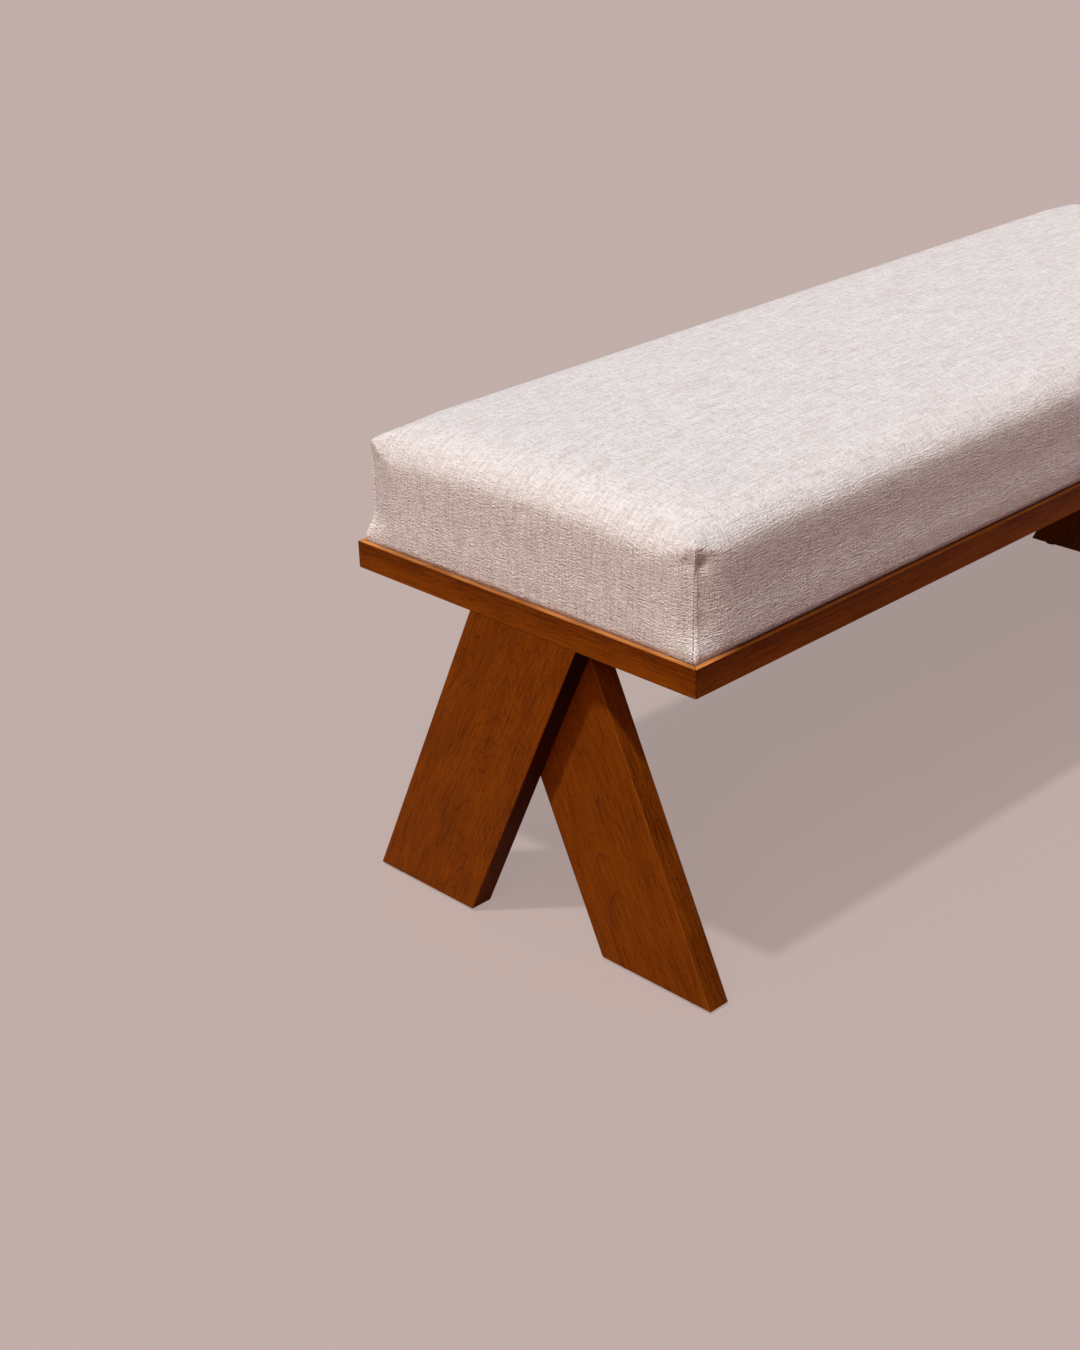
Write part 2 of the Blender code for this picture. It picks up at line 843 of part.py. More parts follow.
def turn_edge_in(skin, inset):
    """Run a skin's lower edge in under the deck."""
    result = bmesh.ops.extrude_edge_only(skin, edges=open_edges(skin))
    x_half, y_half = pad_halves(inset)
    reach = turn_in - inset
    for part in result["geom"]:
        if isinstance(part, bmesh.types.BMVert):
            part.co.x *= (x_half - reach) / x_half
            part.co.y *= (y_half - reach) / y_half


def make_pad():
    """Foam, wadding and cover, one over the other."""
    base = pad_bottom - rail_top
    wadding_inset = cover_thickness + layer_gap
    foam_inset = wadding_inset + wadding_thickness + layer_gap

    foam = make_skin(foam_inset, base)
    bmesh.ops.edgeloop_fill(foam, edges=open_edges(foam))
    add_object("seat_foam", foam, parts, foam_white, smooth=True)

    wadding = bmesh.new()
    rims = add_skin(wadding, make_skin(wadding_inset, base), False)
    rims += add_skin(wadding, make_skin(wadding_inset + wadding_thickness, base), True)
    bmesh.ops.bridge_loops(wadding, edges=rims)
    add_object("seat_wadding", wadding, parts, wadding_white, smooth=True)

    cover = bmesh.new()
    outer = make_skin(0.0, turn_in_bottom - rail_top)
    turn_edge_in(outer, 0.0)
    inner = make_skin(cover_thickness, turn_in_bottom + cover_thickness - rail_top)
    turn_edge_in(inner, cover_thickness)
    rims = add_skin(cover, outer, False)
    rims += add_skin(cover, inner, True)
    bmesh.ops.bridge_loops(cover, edges=rims)
    add_object("seat_cover", cover, parts, linen, smooth=True)


clear_scene()
parts = new_collection("upholstered_bench")
cutters = new_collection("cutters")
wood = new_material("stained_hardwood", (0.13, 0.030, 0.003), 0.40)
beech = new_material("plain_beech", (0.55, 0.36, 0.20), 0.55)
plywood = new_material("birch_plywood", (0.62, 0.45, 0.27), 0.60)
linen = new_material("oatmeal_linen", (0.66, 0.58, 0.54), 0.90)
foam_white = new_material("seat_foam", (0.80, 0.76, 0.62), 0.95)
wadding_white = new_material("polyester_wadding", (0.85, 0.85, 0.83), 0.95)
black_cloth = new_material("black_lining", (0.02, 0.02, 0.02), 0.90)
steel = new_material("zinc_plated_steel", (0.62, 0.62, 0.60), 0.35, 1.0)
brass = new_material("brass", (0.80, 0.58, 0.27), 0.35, 1.0)
nylon = new_material("dark_nylon", (0.05, 0.03, 0.02), 0.50)

frame_rails = make_rails()
make_splines(frame_rails)
deck_holders = make_cross_rails(frame_rails) + make_corner_blocks()
make_legs(frame_rails)
make_deck(deck_holders)
make_pad()
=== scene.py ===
"""Looks of the upholstered bench, laid out as an add-on.

The seat is made again as cloth over padding. The timber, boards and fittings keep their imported
shapes and get the finishes of the real ones. Metres, +Z up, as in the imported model.
"""

import math
from functools import partial

import bmesh
import bpy
import numpy as np
from bpy.props import FloatProperty, FloatVectorProperty, PointerProperty
from mathutils import Matrix, Vector


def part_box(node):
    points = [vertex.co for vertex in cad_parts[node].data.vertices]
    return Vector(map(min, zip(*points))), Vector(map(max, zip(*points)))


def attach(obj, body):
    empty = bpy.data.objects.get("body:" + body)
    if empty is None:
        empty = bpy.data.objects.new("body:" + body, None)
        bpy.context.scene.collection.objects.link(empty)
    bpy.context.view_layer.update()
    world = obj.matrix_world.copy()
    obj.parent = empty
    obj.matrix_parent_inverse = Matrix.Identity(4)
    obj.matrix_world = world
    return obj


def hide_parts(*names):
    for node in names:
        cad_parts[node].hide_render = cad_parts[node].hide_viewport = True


bl_info = {
    "name": "Upholstered bench",
    "version": (1, 0, 0),
    "blender": (4, 5, 0),
    "location": "View3D > Sidebar > Bench",
    "description": "Makes the seat, the finishes and the stage of an upholstered bench",
    "category": "Object",
}

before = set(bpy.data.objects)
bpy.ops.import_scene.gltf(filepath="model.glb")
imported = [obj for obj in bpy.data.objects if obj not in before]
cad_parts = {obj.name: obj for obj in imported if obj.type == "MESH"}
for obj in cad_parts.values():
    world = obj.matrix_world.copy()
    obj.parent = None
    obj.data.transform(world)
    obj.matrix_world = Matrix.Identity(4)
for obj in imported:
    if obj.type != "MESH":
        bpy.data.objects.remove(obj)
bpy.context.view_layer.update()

BODY = "root"
MM = 0.001
BLACK = (0, 0, 0)

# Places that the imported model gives
LIP_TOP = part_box("side_rail_front")[1].z
RAIL_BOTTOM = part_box("side_rail_front")[0].z
DECK_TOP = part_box("seat_deck")[1].z
# The cover is turned round the deck's edges
COVER_WRAP = 1.3 * MM
COVER_HALF_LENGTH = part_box("seat_deck")[1].x + COVER_WRAP
COVER_HALF_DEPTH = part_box("seat_deck")[1].y + COVER_WRAP
COVER_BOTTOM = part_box("seat_cover")[0].z


def linear(code):
    """A hex colour as linear red, green and blue."""
    shades = [int(code[start:start + 2], 16) / 255 for start in (1, 3, 5)]
    return [s / 12.92 if s <= 0.04045 else ((s + 0.055) / 1.055) ** 2.4 for s in shades]


def length_property(name, description, default):
    """A setting that is a length in metres."""
    return FloatProperty(
        name=name, description=description, default=default, unit="LENGTH", precision=4
    )


def colour_property(name, description, code):
    """A setting that is a colour."""
    return FloatVectorProperty(
        name=name, description=description, default=linear(code), subtype="COLOR", min=0, max=1
    )


def strength_property(name, description, default):
    """A setting that is the strength of a light."""
    return FloatProperty(name=name, description=description, default=default, min=0)


class BenchSeatSettings(bpy.types.PropertyGroup):
    """Shape and cloth of the seat."""

    middle: length_property("Middle height", "Height of the crown above the lip", 0.1221)
    roll: length_property("Edge roll", "How far the rolled top edge reaches in", 0.045)
    corner_roll: length_property("Corner roll", "The same reach at a corner", 0.011)
    pull: length_property("Corner pull", "How far the corners are drawn in", 0.0057)
    swell: length_property("Side swell", "How far the sides stand out between corners", 0.001)
    seam_depth: length_property("Seam depth", "Depth of the groove at a sewn corner", 0.0007)
    dimple_depth: length_property("Dimple depth", "Depth of the pinches at a seam's top", 0.0026)
    cloth_thickness: length_property("Cloth thickness", "Thickness of the cover's cloth", 0.0008)
    yarn: length_property("Yarn spacing", "Distance between two yarns of the weave", 0.0015)
    # Also the colour of the painted highlight on the seams' folds
    pale_yarn_and_highlight: colour_property("Pale yarn and fold highlight", "Colour of the cloth's pale yarns, and of the painted highlight on the seams' folds", "#ece6e3")
    dark_yarn_and_shade: colour_property("Dark yarn and gap shade", "Colour of the cloth's darker slubs, and of the painted shade between yarns", "#c2b6b0")
    fleck: colour_property("Fleck", "Colour of the bits of bark in the linen", "#6d5a4e")


class BenchTimberSettings(bpy.types.PropertyGroup):
    """Stain and figure of the timber."""

    stain: colour_property("Stain", "Main colour of the stained hardwood", "#894404")
    # Also the colour of the painted shade on plank edges and on the lip
    grain_and_shade: colour_property("Dark grain and shade", "Colour of the late wood and pores, and of painted shade", "#441802")
    # A paler colour that paints the highlight on the edges and the lip
    edge_highlight: colour_property("Painted edge highlight", "Colour of the painted highlight on the edges", "#c98348")
    # Near black, painted as shade on a plank's lower edge
    lower_edge_shade: colour_property(
        "Lower edge shade", "Colour of the painted shade on a plank's lower edge", "#0d0200"
    )
    ring: length_property("Ring spacing", "Distance between two growth rings", 0.0040)
    arris: length_property("Edge width", "Width of the edges that get the painted highlight", 0.0014)


class BenchStageSettings(bpy.types.PropertyGroup):
    """Floor, lamps and surroundings."""

    floor: colour_property("Floor", "Colour of the floor", "#bba8a2")
    bounce: colour_property("Floor bounce", "Colour the floor throws back on the bench", "#753e2e")
    glow: FloatProperty(
        name="Floor glow",
        description="Share of the floor's colour seen in shadow",
        default=0.72,
        min=0,
        max=1,
    )
    key: strength_property("Key lamp", "Strength of the key lamp", 2.84)
    fill: strength_property("Fill lamp", "Strength of the soft fill lamp", 1.50)
    sky: strength_property("Sky", "Strength of the light from above", 0.36)


def add_node(tree, kind, inputs=None, **settings):
    """Add a node. A value that is a node or a socket is linked to its input, any other is set.

    Colours come as red, green and blue.
    """
    node = tree.nodes.new("ShaderNode" + kind)
    for name, value in settings.items():
        setattr(node, name, value)
    for name, value in (inputs or {}).items():
        if isinstance(name, int):
            socket = node.inputs[name]
        else:
            socket = next(place for place in node.inputs if place.name == name and place.enabled)
        if isinstance(value, bpy.types.Node):
            value = next(output for output in value.outputs if output.enabled)
        if isinstance(value, bpy.types.NodeSocket):
            tree.links.new(value, socket)
        elif socket.type == "RGBA":
            socket.default_value = (*value, 1.0)
        else:
            socket.default_value = value
    return node


def new_material(name, **constants):
    """A material with its tree's own node adder and its shader's inputs, the constants set."""
    material = bpy.data.materials.new(name)
    material.use_nodes = True
    tree = material.node_tree
    shader = tree.nodes["Principled BSDF"]
    for socket, value in constants.items():
        shader.inputs[socket.replace("_", " ")].default_value = value
    return material, partial(add_node, tree), shader


def connect(shader, **sources):
    """Link nodes to a shader's inputs."""
    for socket, node in sources.items():
        output = next(place for place in node.outputs if place.enabled)
        shader.id_data.links.new(output, shader.inputs[socket.replace("_", " ")])


def two_tone(add, shader, shade, tones, relief, strength=0.3, **others):
    """Link a shader to two tones, and to a relief, that follow a shade."""
    colour = add("Mix", {"Factor": shade, "A": tones[0], "B": tones[1]}, data_type="RGBA")
    bump = add("Bump", {"Height": shade, "Strength": strength, "Distance": relief})
    connect(shader, Base_Color=colour, Normal=bump, **others)


def dress(piece, material):
    """Give a piece its only material."""
    piece.data.materials.clear()
    piece.data.materials.append(material)


def smoothstep(value):
    """An even ramp from 0 to 1."""
    value = min(max(value, 0.0), 1.0)
    return value * value * (3 - 2 * value)


# Seat

# The sewn corners, in millimetres beside the seam and above the lip
FOLD_ASIDE = -1.6
GROOVE_ASIDE = 1.2
ALLOWANCE_WIDTH = 19
PINCH_ASIDE = 9.5
PINCH_HEIGHT = 84
FOLD_TOP = 82
SEAM_TOP = 92


class PadShape:
    """The crowned block that the cover is drawn over, as points of a grid of columns and rows."""

    corner_reach = 0.022
    corner_growth = 1.5
    corner_spread = 0.022
    crown_reach = 0.095
    crown_fall = 0.006
    corner_fall = 0.0045
    flare_height = 0.026
    tightest = 0.001
    roll_rounds = 8
    # The rolled edges drop by less than they reach in
    end_drop = 0.60
    side_drop = 0.58

    def __init__(self, seat, inset, roll_steps, length_steps, depth_steps):
        self.seat = seat
        self.inset = inset
        self.roll_steps = roll_steps
        self.columns = 2 * (roll_steps + length_steps)
        self.rows = 2 * (roll_steps + depth_steps)
        self.x_half = COVER_HALF_LENGTH
        self.y_half = COVER_HALF_DEPTH
        self.base = DECK_TOP - LIP_TOP + 0.3 * MM

    def roll_at(self, distance):
        """How far the rolled top edge reaches in at a distance from a corner."""
        spread = 1 - math.exp(-((distance / self.corner_reach) ** self.corner_growth))
        return self.seat.corner_roll + (self.seat.roll - self.seat.corner_roll) * spread

    def side_inset(self, distance, height):
        """How far a side is drawn in at a distance from the corner, less its swell."""
        pull = self.seat.pull * smoothstep((height - self.base) / (self.flare_height - self.base))
        near = math.exp(-((distance / self.corner_spread) ** 2))
        rise = min(max((height - self.base) / (self.seat.middle - self.base), 0.0), 1.0)
        return pull * near - self.seat.swell * math.sin(math.pi * rise) * (1 - near)

    def top_at(self, x, y):
        """The height of the crowned top above the lip, before its edges roll over."""
        end = max(0.0, 1 - (self.x_half - abs(x)) / self.crown_reach) ** 2
        side = (abs(y) / self.y_half) ** 2
        fall = self.crown_fall * (end + side) + self.corner_fall * end * side
        return self.seat.middle - fall - self.inset

    def across(self, steps, index, half, roll, grading):
        """A grid line's distance from the side, and its share of the roll's drop."""
        from_rim = min(index, steps - index)
        if from_rim < self.roll_steps:
            turn = math.pi / 2 * (1 - from_rim / self.roll_steps)
            return roll * (1 - math.sin(turn)), 1 - math.cos(turn)
        share = (from_rim - self.roll_steps) / (steps / 2 - self.roll_steps)
        return roll + (half - roll) * share**grading, 0.0

    def gaps(self, column, row, end_roll, side_roll, inset):
        """Distances from end and side of a grid point, each with its share of the drop."""
        x = self.across(self.columns, column, self.x_half - inset, end_roll, 1.7)
        y = self.across(self.rows, row, self.y_half - inset, side_roll, 1.25)
        return x, y

    def point(self, column, row, height=None):
        """A point of the top, or with a height the point below it on the side."""
        end_roll = side_roll = self.seat.roll
        for _ in range(self.roll_rounds):
            (x_gap, _), (y_gap, _) = self.gaps(column, row, end_roll, side_roll, 0.0)
            end_roll = self.roll_at(y_gap)
            side_roll = self.roll_at(x_gap)
        end_roll = max(end_roll - self.inset, self.tightest)
        side_roll = max(side_roll - self.inset, self.tightest)
        (x_gap, x_share), (y_gap, y_share) = self.gaps(column, row, end_roll, side_roll, self.inset)
        x = self.x_half - self.inset - x_gap
        y = self.y_half - self.inset - y_gap
        if height is None:
            end_fall = self.end_drop * end_roll
            side_fall = self.side_drop * side_roll
            both = min(end_fall, side_fall) * x_share * y_share
            height = self.top_at(x, y) - (end_fall * x_share + side_fall * y_share - both)
        x -= self.side_inset(y_gap, height) * math.exp(-x_gap / self.corner_reach)
        y -= self.side_inset(x_gap, height) * math.exp(-y_gap / self.corner_reach)
        x_sign = -1 if 2 * column < self.columns else 1
        y_sign = -1 if 2 * row < self.rows else 1
        return Vector((x_sign * x, y_sign * y, LIP_TOP + height))


def pad_mesh(shape, wall_steps, tucked=(), turn_in=0.0):
    """Top and sides of a pad, with the grid key of each point.

    The sides run down to the pad's base in even steps, then to the heights in tucked, and then
    inwards underneath by turn_in.
    """
    bm = bmesh.new()
    bm.loops.layers.uv.new("cloth")
    bm.verts.layers.float.new("seam_aside")
    bm.verts.layers.float.new("seam_strength")
    bmesh.ops.create_grid(bm, x_segments=shape.columns, y_segments=shape.rows, size=1.0)
    levels = wall_steps + len(tucked) + (1 if turn_in else 0)
    for level in range(1, levels + 1):
        rim = [edge for edge in bm.edges if edge.is_boundary]
        for part in bmesh.ops.extrude_edge_only(bm, edges=rim)["geom"]:
            if isinstance(part, bmesh.types.BMVert):
                part.co.z = -level
    keys = {}
    for vert in bm.verts:
        column = round((vert.co.x + 1) / 2 * shape.columns)
        row = round((vert.co.y + 1) / 2 * shape.rows)
        level = round(-vert.co.z)
        keys[vert] = (column, row, level)
        place = shape.point(column, row)
        if 0 < level <= wall_steps:
            rim_height = place.z - LIP_TOP
            drop = (rim_height - shape.base) * level / wall_steps
            place = shape.point(column, row, rim_height - drop)
        elif level:
            place = shape.point(column, row, tucked[min(level - wall_steps, len(tucked)) - 1])
        if turn_in and level == levels:
            place.x *= 1 - turn_in / shape.x_half
            place.y *= 1 - turn_in / shape.y_half
        vert.co = place
    bmesh.ops.recalc_face_normals(bm, faces=bm.faces[:])
    return bm, keys


def cloth_lengths(shape, points, levels):
    """How far the cloth runs from the middle to each grid point, along and across the bench."""
    columns, rows = shape.columns, shape.rows
    along = np.zeros((columns + 1, rows + 1))
    over = np.zeros((columns + 1, rows + 1))
    down = np.zeros((columns + 1, rows + 1, levels + 1))
    top = np.array([[points[c, r, 0] for r in range(rows + 1)] for c in range(columns + 1)])
    step_x = np.linalg.norm(np.diff(top, axis=0), axis=2)
    step_y = np.linalg.norm(np.diff(top, axis=1), axis=2)
    along[1:] = np.cumsum(step_x, axis=0)
    over[:, 1:] = np.cumsum(step_y, axis=1)
    along -= along[columns // 2]
    over -= over[:, rows // 2, None]
    for (column, row, level), place in points.items():
        if level:
            above = points[column, row, level - 1]
            down[column, row, level] = np.linalg.norm(np.subtract(place, above))
    return along, over, np.cumsum(down, axis=2)


def lay_cloth(bm, keys, shape, levels):
    """Write the cloth's own flat coordinates, in metres, and each point's place by its seam."""
    points = {key: tuple(vert.co) for vert, key in keys.items()}
    along, over, down = cloth_lengths(shape, points, levels)
    map_cloth(bm, keys, shape, points, along, over, down)
    mark_seams(bm, keys, shape, along, over)


def map_cloth(bm, keys, shape, points, along, over, down):
    """Write the flat coordinates, so that the yarns stay even at corners and level on walls."""
    middle_column, middle_row = shape.columns // 2, shape.rows // 2
    end_reach = abs(along[0, middle_row]) + points[0, middle_row, 0][2]
    side_reach = abs(over[middle_column, 0]) + points[middle_column, 0, 0][2]
    settled = 35 * MM
    # The middle lines say how far the cloth runs to each place of the top
    middle_x = [points[column, middle_row, 0][0] for column in range(shape.columns + 1)]
    middle_y = [points[middle_column, row, 0][1] for row in range(shape.rows + 1)]
    flat = bm.loops.layers.uv["cloth"]
    for face in bm.faces:
        cells = [keys[vert] for vert in face.verts]
        on_top = all(level == 0 for _, _, level in cells)
        on_end = len({column for column, _, _ in cells}) == 1
        for loop in face.loops:
            column, row, level = keys[loop.vert]
            rim_x, rim_y, _ = points[column, row, 0]
            u = np.interp(rim_x, middle_x, along[:, middle_row])
            v = np.interp(rim_y, middle_y, over[middle_column])
            if not on_top:
                # Below the rolls the yarns settle to run level along the walls
                x, y, z = points[column, row, level]
                run = down[column, row, level]
                level_share = smoothstep(run / settled)
                if on_end:
                    level_place = math.copysign(end_reach - z, u), y
                    u += math.copysign(run, u)
                else:
                    level_place = x, math.copysign(side_reach - z, v)
                    v += math.copysign(run, v)
                u += (level_place[0] - u) * level_share
                v += (level_place[1] - v) * level_share
            loop[flat].uv = (u, v)


def mark_seams(bm, keys, shape, along, over):
    """Write how far each point lies beside its seam, and how much of the seam reaches it."""
    aside = bm.verts.layers.float["seam_aside"]
    strength = bm.verts.layers.float["seam_strength"]
    for vert, (column, row, _) in keys.items():
        inward = min(column, shape.columns - column), min(row, shape.rows - row)
        least = min(inward)
        corner = (
            least if 2 * column < shape.columns else shape.columns - least,
            least if 2 * row < shape.rows else shape.rows - least,
        )
        if inward[0] < inward[1]:
            distance, side = abs(over[column, row] - over[corner]), 1
        else:
            distance, side = abs(along[column, row] - along[corner]), -1
        # All four seams are folded the same way round the seat
        turned = 1 if (2 * column < shape.columns) == (2 * row < shape.rows) else -1
        vert[aside] = distance * side * turned
        fade = smoothstep((distance - 60 * MM) / (40 * MM))
        vert[strength] = (1 - smoothstep(least / (0.8 * shape.roll_steps))) * (1 - fade)


def object_from(name, bm):
    """A smooth object from a bmesh, in the scene."""
    mesh = bpy.data.meshes.new(name)
    bm.to_mesh(mesh)
    bm.free()
    mesh.shade_smooth()
    piece = bpy.data.objects.new(name, mesh)
    bpy.context.scene.collection.objects.link(piece)
    return piece


def vertex_array(mesh, kind="co"):
    """The places of the mesh's vertices, or their normals, as an array."""
    places = np.zeros(3 * len(mesh.vertices))
    mesh.vertices.foreach_get(kind, places)
    return places.reshape(-1, 3)


def attribute_array(mesh, name):
    """One float attribute of the mesh's points as an array."""
    values = np.zeros(len(mesh.vertices))
    mesh.attributes[name].data.foreach_get("value", values)
    return values


def evaluated_mesh(piece):
    """A new mesh of the piece with its modifiers applied."""
    graph = bpy.context.evaluated_depsgraph_get()
    return bpy.data.meshes.new_from_object(
        piece.evaluated_get(graph), preserve_all_data_layers=True, depsgraph=graph
    )


def hump(values, middle, width):
    """A smooth hump about a middle, 1 at its top."""
    return np.exp(-(((values - middle) / width) ** 2))


def below(height, top, fade):
    """A share that is 1 low down and falls to 0 at the top over the height of the fade."""
    return np.clip((top - height) / fade, 0, 1)


def draw_tight(piece, cap):
    """Let the cover settle as cloth that the padding pushes out.

    It is held fast at its seams and its lower edge. Everywhere else the padding holds it softly.
    """
    last_frame = 20
    soft_hold = 0.2
    start = vertex_array(piece.data)
    aside = attribute_array(piece.data, "seam_aside")
    strength = attribute_array(piece.data, "seam_strength")
    hold_seam = strength * hump(aside, 0, 12 * MM)
    hold_base = below(start[:, 2] - LIP_TOP, 16 * MM, 10 * MM)
    fixed = np.maximum(hold_seam, hold_base)
    group = piece.vertex_groups.new(name="held")
    for index, weight in enumerate(np.maximum(fixed, soft_hold)):
        group.add([index], float(weight), "REPLACE")
    cloth = piece.modifiers.new("Drawn tight", "CLOTH")
    cloth.settings.effector_weights.gravity = 0
    for name, value in {
        "quality": 4,
        "mass": 0.3,
        "tension_stiffness": 25,
        "compression_stiffness": 25,
        "shear_stiffness": 12,
        "bending_stiffness": 1.5,
        "use_pressure": True,
        "uniform_pressure_force": 6.0,
        "vertex_group_mass": group.name,
        "pin_stiffness": 5,
    }.items():
        setattr(cloth.settings, name, value)
    cloth.point_cache.frame_start = 1
    cloth.point_cache.frame_end = last_frame
    scene = bpy.context.scene
    for number in range(1, last_frame + 1):
        scene.frame_set(number)
        bpy.context.view_layer.update()
    settled = evaluated_mesh(piece)
    moved = vertex_array(settled) - start
    bpy.data.meshes.remove(settled)
    piece.modifiers.remove(cloth)
    scene.frame_set(1)
    distance = np.linalg.norm(moved, axis=1)
    share = cap * np.tanh(distance / cap) / np.maximum(distance, 1e-9)
    places = start + moved * (share * (1 - fixed))[:, None]
    piece.data.vertices.foreach_set("co", places.ravel())
    piece.data.update()
    piece.vertex_groups.clear()


def refine(piece):
    """Subdivide the piece once, keeping its cloth coordinates and seam places."""
    piece.modifiers.new("Fine", "SUBSURF").levels = 1
    mesh = evaluated_mesh(piece)
    piece.modifiers.clear()
    old = piece.data
    piece.data = mesh
    bpy.data.meshes.remove(old)
    mesh.name = piece.name


def sew_corners(piece, seat):
    """Press in the sewn corners: groove, folded allowance, and the pinches at their tops."""
    mesh = piece.data
    places = vertex_array(mesh)
    aside = attribute_array(mesh, "seam_aside") / MM
    strength = attribute_array(mesh, "seam_strength")
    normals = vertex_array(mesh, "normal")
    height = (places[:, 2] - LIP_TOP) / MM

    # The groove lies beside the folded edge, and the allowance is turned in behind it
    groove = seat.seam_depth * hump(aside, GROOVE_ASIDE, 0.7)
    fold = 0.5 * MM * hump(aside, FOLD_ASIDE, 1.5) * below(height, FOLD_TOP, 12)
    allowance = 0.35 * MM / (1 + np.exp((aside - ALLOWANCE_WIDTH) / 1.2)) * (aside > 0)
    ease = np.clip(height / 6, 0, 1)
    sewn = strength * below(height, SEAM_TOP, 8)
    mesh.attributes["seam_strength"].data.foreach_set("value", sewn)
    lift = sewn * ease * (fold + allowance - groove)

    # Two pinches just under the top of each seam, deeper at the front left one
    deep = np.where((places[:, 0] < 0) & (places[:, 1] < 0), 1.0, 0.2)
    for middle in (-PINCH_ASIDE, PINCH_ASIDE):
        dent = hump(aside, middle, 6.5) * hump(height, PINCH_HEIGHT, 5.5)
        lift -= seat.dimple_depth * deep * dent

    # The cloth stands a little over the lip where it is tucked in, most along the sides
    along_side = aside * places[:, 0] * places[:, 1] < 0
    most = np.where(along_side, 2.8, 1.6)
    fullest = 2
    spread = np.where(height < fullest, 1.6, 32)
    bulge = MM * (1.0 + most * (1 - hump(aside, 0, 30)))
    lift += bulge * hump(height, fullest, spread)
    lift += 0.8 * MM * hump(aside, 0, 4) * hump(height, 7, 5)

    # Faint drag lines that fan out from the seam
    away = np.abs(aside)
    fan = np.sin(height / 3.1 + 0.10 * away) * np.exp(-away / 16)
    lift += 0.16 * MM * fan * below(height, 100, 15) * ease

    places += normals * lift[:, None]
    mesh.vertices.foreach_set("co", places.ravel())
    mesh.update()


def weave(add, flat, seat):
    """The colour and the relief of a plain weave, on the cloth's own flat coordinates."""
    yarn = seat.yarn
    wander = add("TexNoise", {"Vector": flat, "Scale": 1 / (60 * MM), "Detail": 2.0})
    centred = add(
        "VectorMath", {0: wander.outputs["Color"], 1: (0.5, 0.5, 0.5)}, operation="SUBTRACT"
    )
    bent = add(
        "VectorMath", {0: centred, 1: (6 * MM, 6 * MM, 0), 2: flat}, operation="MULTIPLY_ADD"
    )

    def drawn_out(vector, length, width, turned, detail, shift=(0, 0, 0)):
        """Noise drawn out along the bench, or across it when turned."""
        scale = (1 / width, 1 / length, 1) if turned else (1 / length, 1 / width, 1)
        spread = add("Mapping", {"Vector": vector, "Scale": scale, "Location": shift})
        return add(
            "TexNoise", {"Vector": spread, "Scale": 1.0, "Detail": detail}, noise_dimensions="2D"
        )

    def yarn_tone(length, turned):
        """A tone for each yarn along the bench, or across it, that changes along its length."""
        steps = (yarn, 1e-6, 1) if turned else (1e-6, yarn, 1)
        one_yarn = add("VectorMath", {0: bent, 1: steps}, operation="SNAP")
        return drawn_out(one_yarn, length, 0.8 * yarn, turned, 1.5, (7.3, 2.9, 0))

    def streak(length, width, turned):
        """Broad streaks where several thick or thin yarns lie side by side."""
        return drawn_out(bent, length, width, turned, 2.0)

    warp = yarn_tone(28 * MM, False)
    weft = yarn_tone(12 * MM, True)
    over = add("TexChecker", {"Vector": bent, "Scale": 1 / yarn})
    shown = add("Mix", {"Factor": over.outputs["Fac"], "A": warp, "B": weft})
    one_crossing = add("VectorMath", {0: bent, 1: (1.2 * yarn, 1.2 * yarn, 1)}, operation="SNAP")
    crossing = add("TexWhiteNoise", {"Vector": one_crossing})
    tone = 0.0
    for part, share in (
        (warp, 0.50),
        (weft, 0.35),
        (shown, 0.50),
        (crossing, 0.30),
        (streak(90 * MM, 5 * MM, False), 0.22),
        (streak(60 * MM, 5 * MM, True), 0.14),
    ):
        tone = add("Math", {0: part, 1: share, 2: tone}, operation="MULTIPLY_ADD")
    # The shares add up to 2.01, so the sum lies about 1.00
    pale = add("MapRange", {"Value": tone, "From Min": 0.62, "From Max": 1.23})

    # A yarn is round, and the gaps beside it get painted shade
    wave = {"Vector": bent, "Scale": math.pi / 10 / yarn}
    ridges = {index: add("TexWave", wave, bands_direction=axis) for index, axis in enumerate("XY")}
    pillows = add("Math", ridges, operation="MULTIPLY")
    gap_shade = add("MapRange", {"Value": pillows, "From Max": 0.35, "To Min": 0.34, "To Max": 0.0})

    def flecks(length, width):
        """Bits of bark that were spun in: a small share of all the short pieces of yarn."""
        cell = add("VectorMath", {0: bent, 1: (length, width, 1)}, operation="SNAP")
        draw = add("TexWhiteNoise", {"Vector": cell})
        return add("Math", {0: draw, 1: 1 - 0.004}, operation="GREATER_THAN")

    long_piece, short_piece = 1.2 * yarn, 0.6 * yarn
    bark = add(
        "Math",
        {0: flecks(long_piece, short_piece), 1: flecks(short_piece, long_piece)},
        operation="MAXIMUM",
    )
    bark = add("Math", {0: bark, 1: 0.5}, operation="MULTIPLY")
    # Pale yarns, then painted shade in the gaps, then bark flecks
    colour = seat.dark_yarn_and_shade
    for share, tint in ((pale, seat.pale_yarn_and_highlight), (gap_shade, seat.dark_yarn_and_shade), (bark, seat.fleck)):
        colour = add("Mix", {"Factor": share, "A": colour, "B": tint}, data_type="RGBA")

    # Thick and thin places stand up and sink in, which shows most where the light grazes
    relief = add("Math", {0: streak(14 * MM, 1.5 * MM, False), 1: streak(10 * MM, 1.5 * MM, True)})
    slubs = add("TexNoise", {"Vector": bent, "Scale": 1 / (2.0 * MM), "Detail": 1.0})
    for part, share in ((slubs, 1.6), (pillows, 0.3), (shown, 0.8)):
        relief = add("Math", {0: part, 1: share, 2: relief}, operation="MULTIPLY_ADD")
    return colour, relief


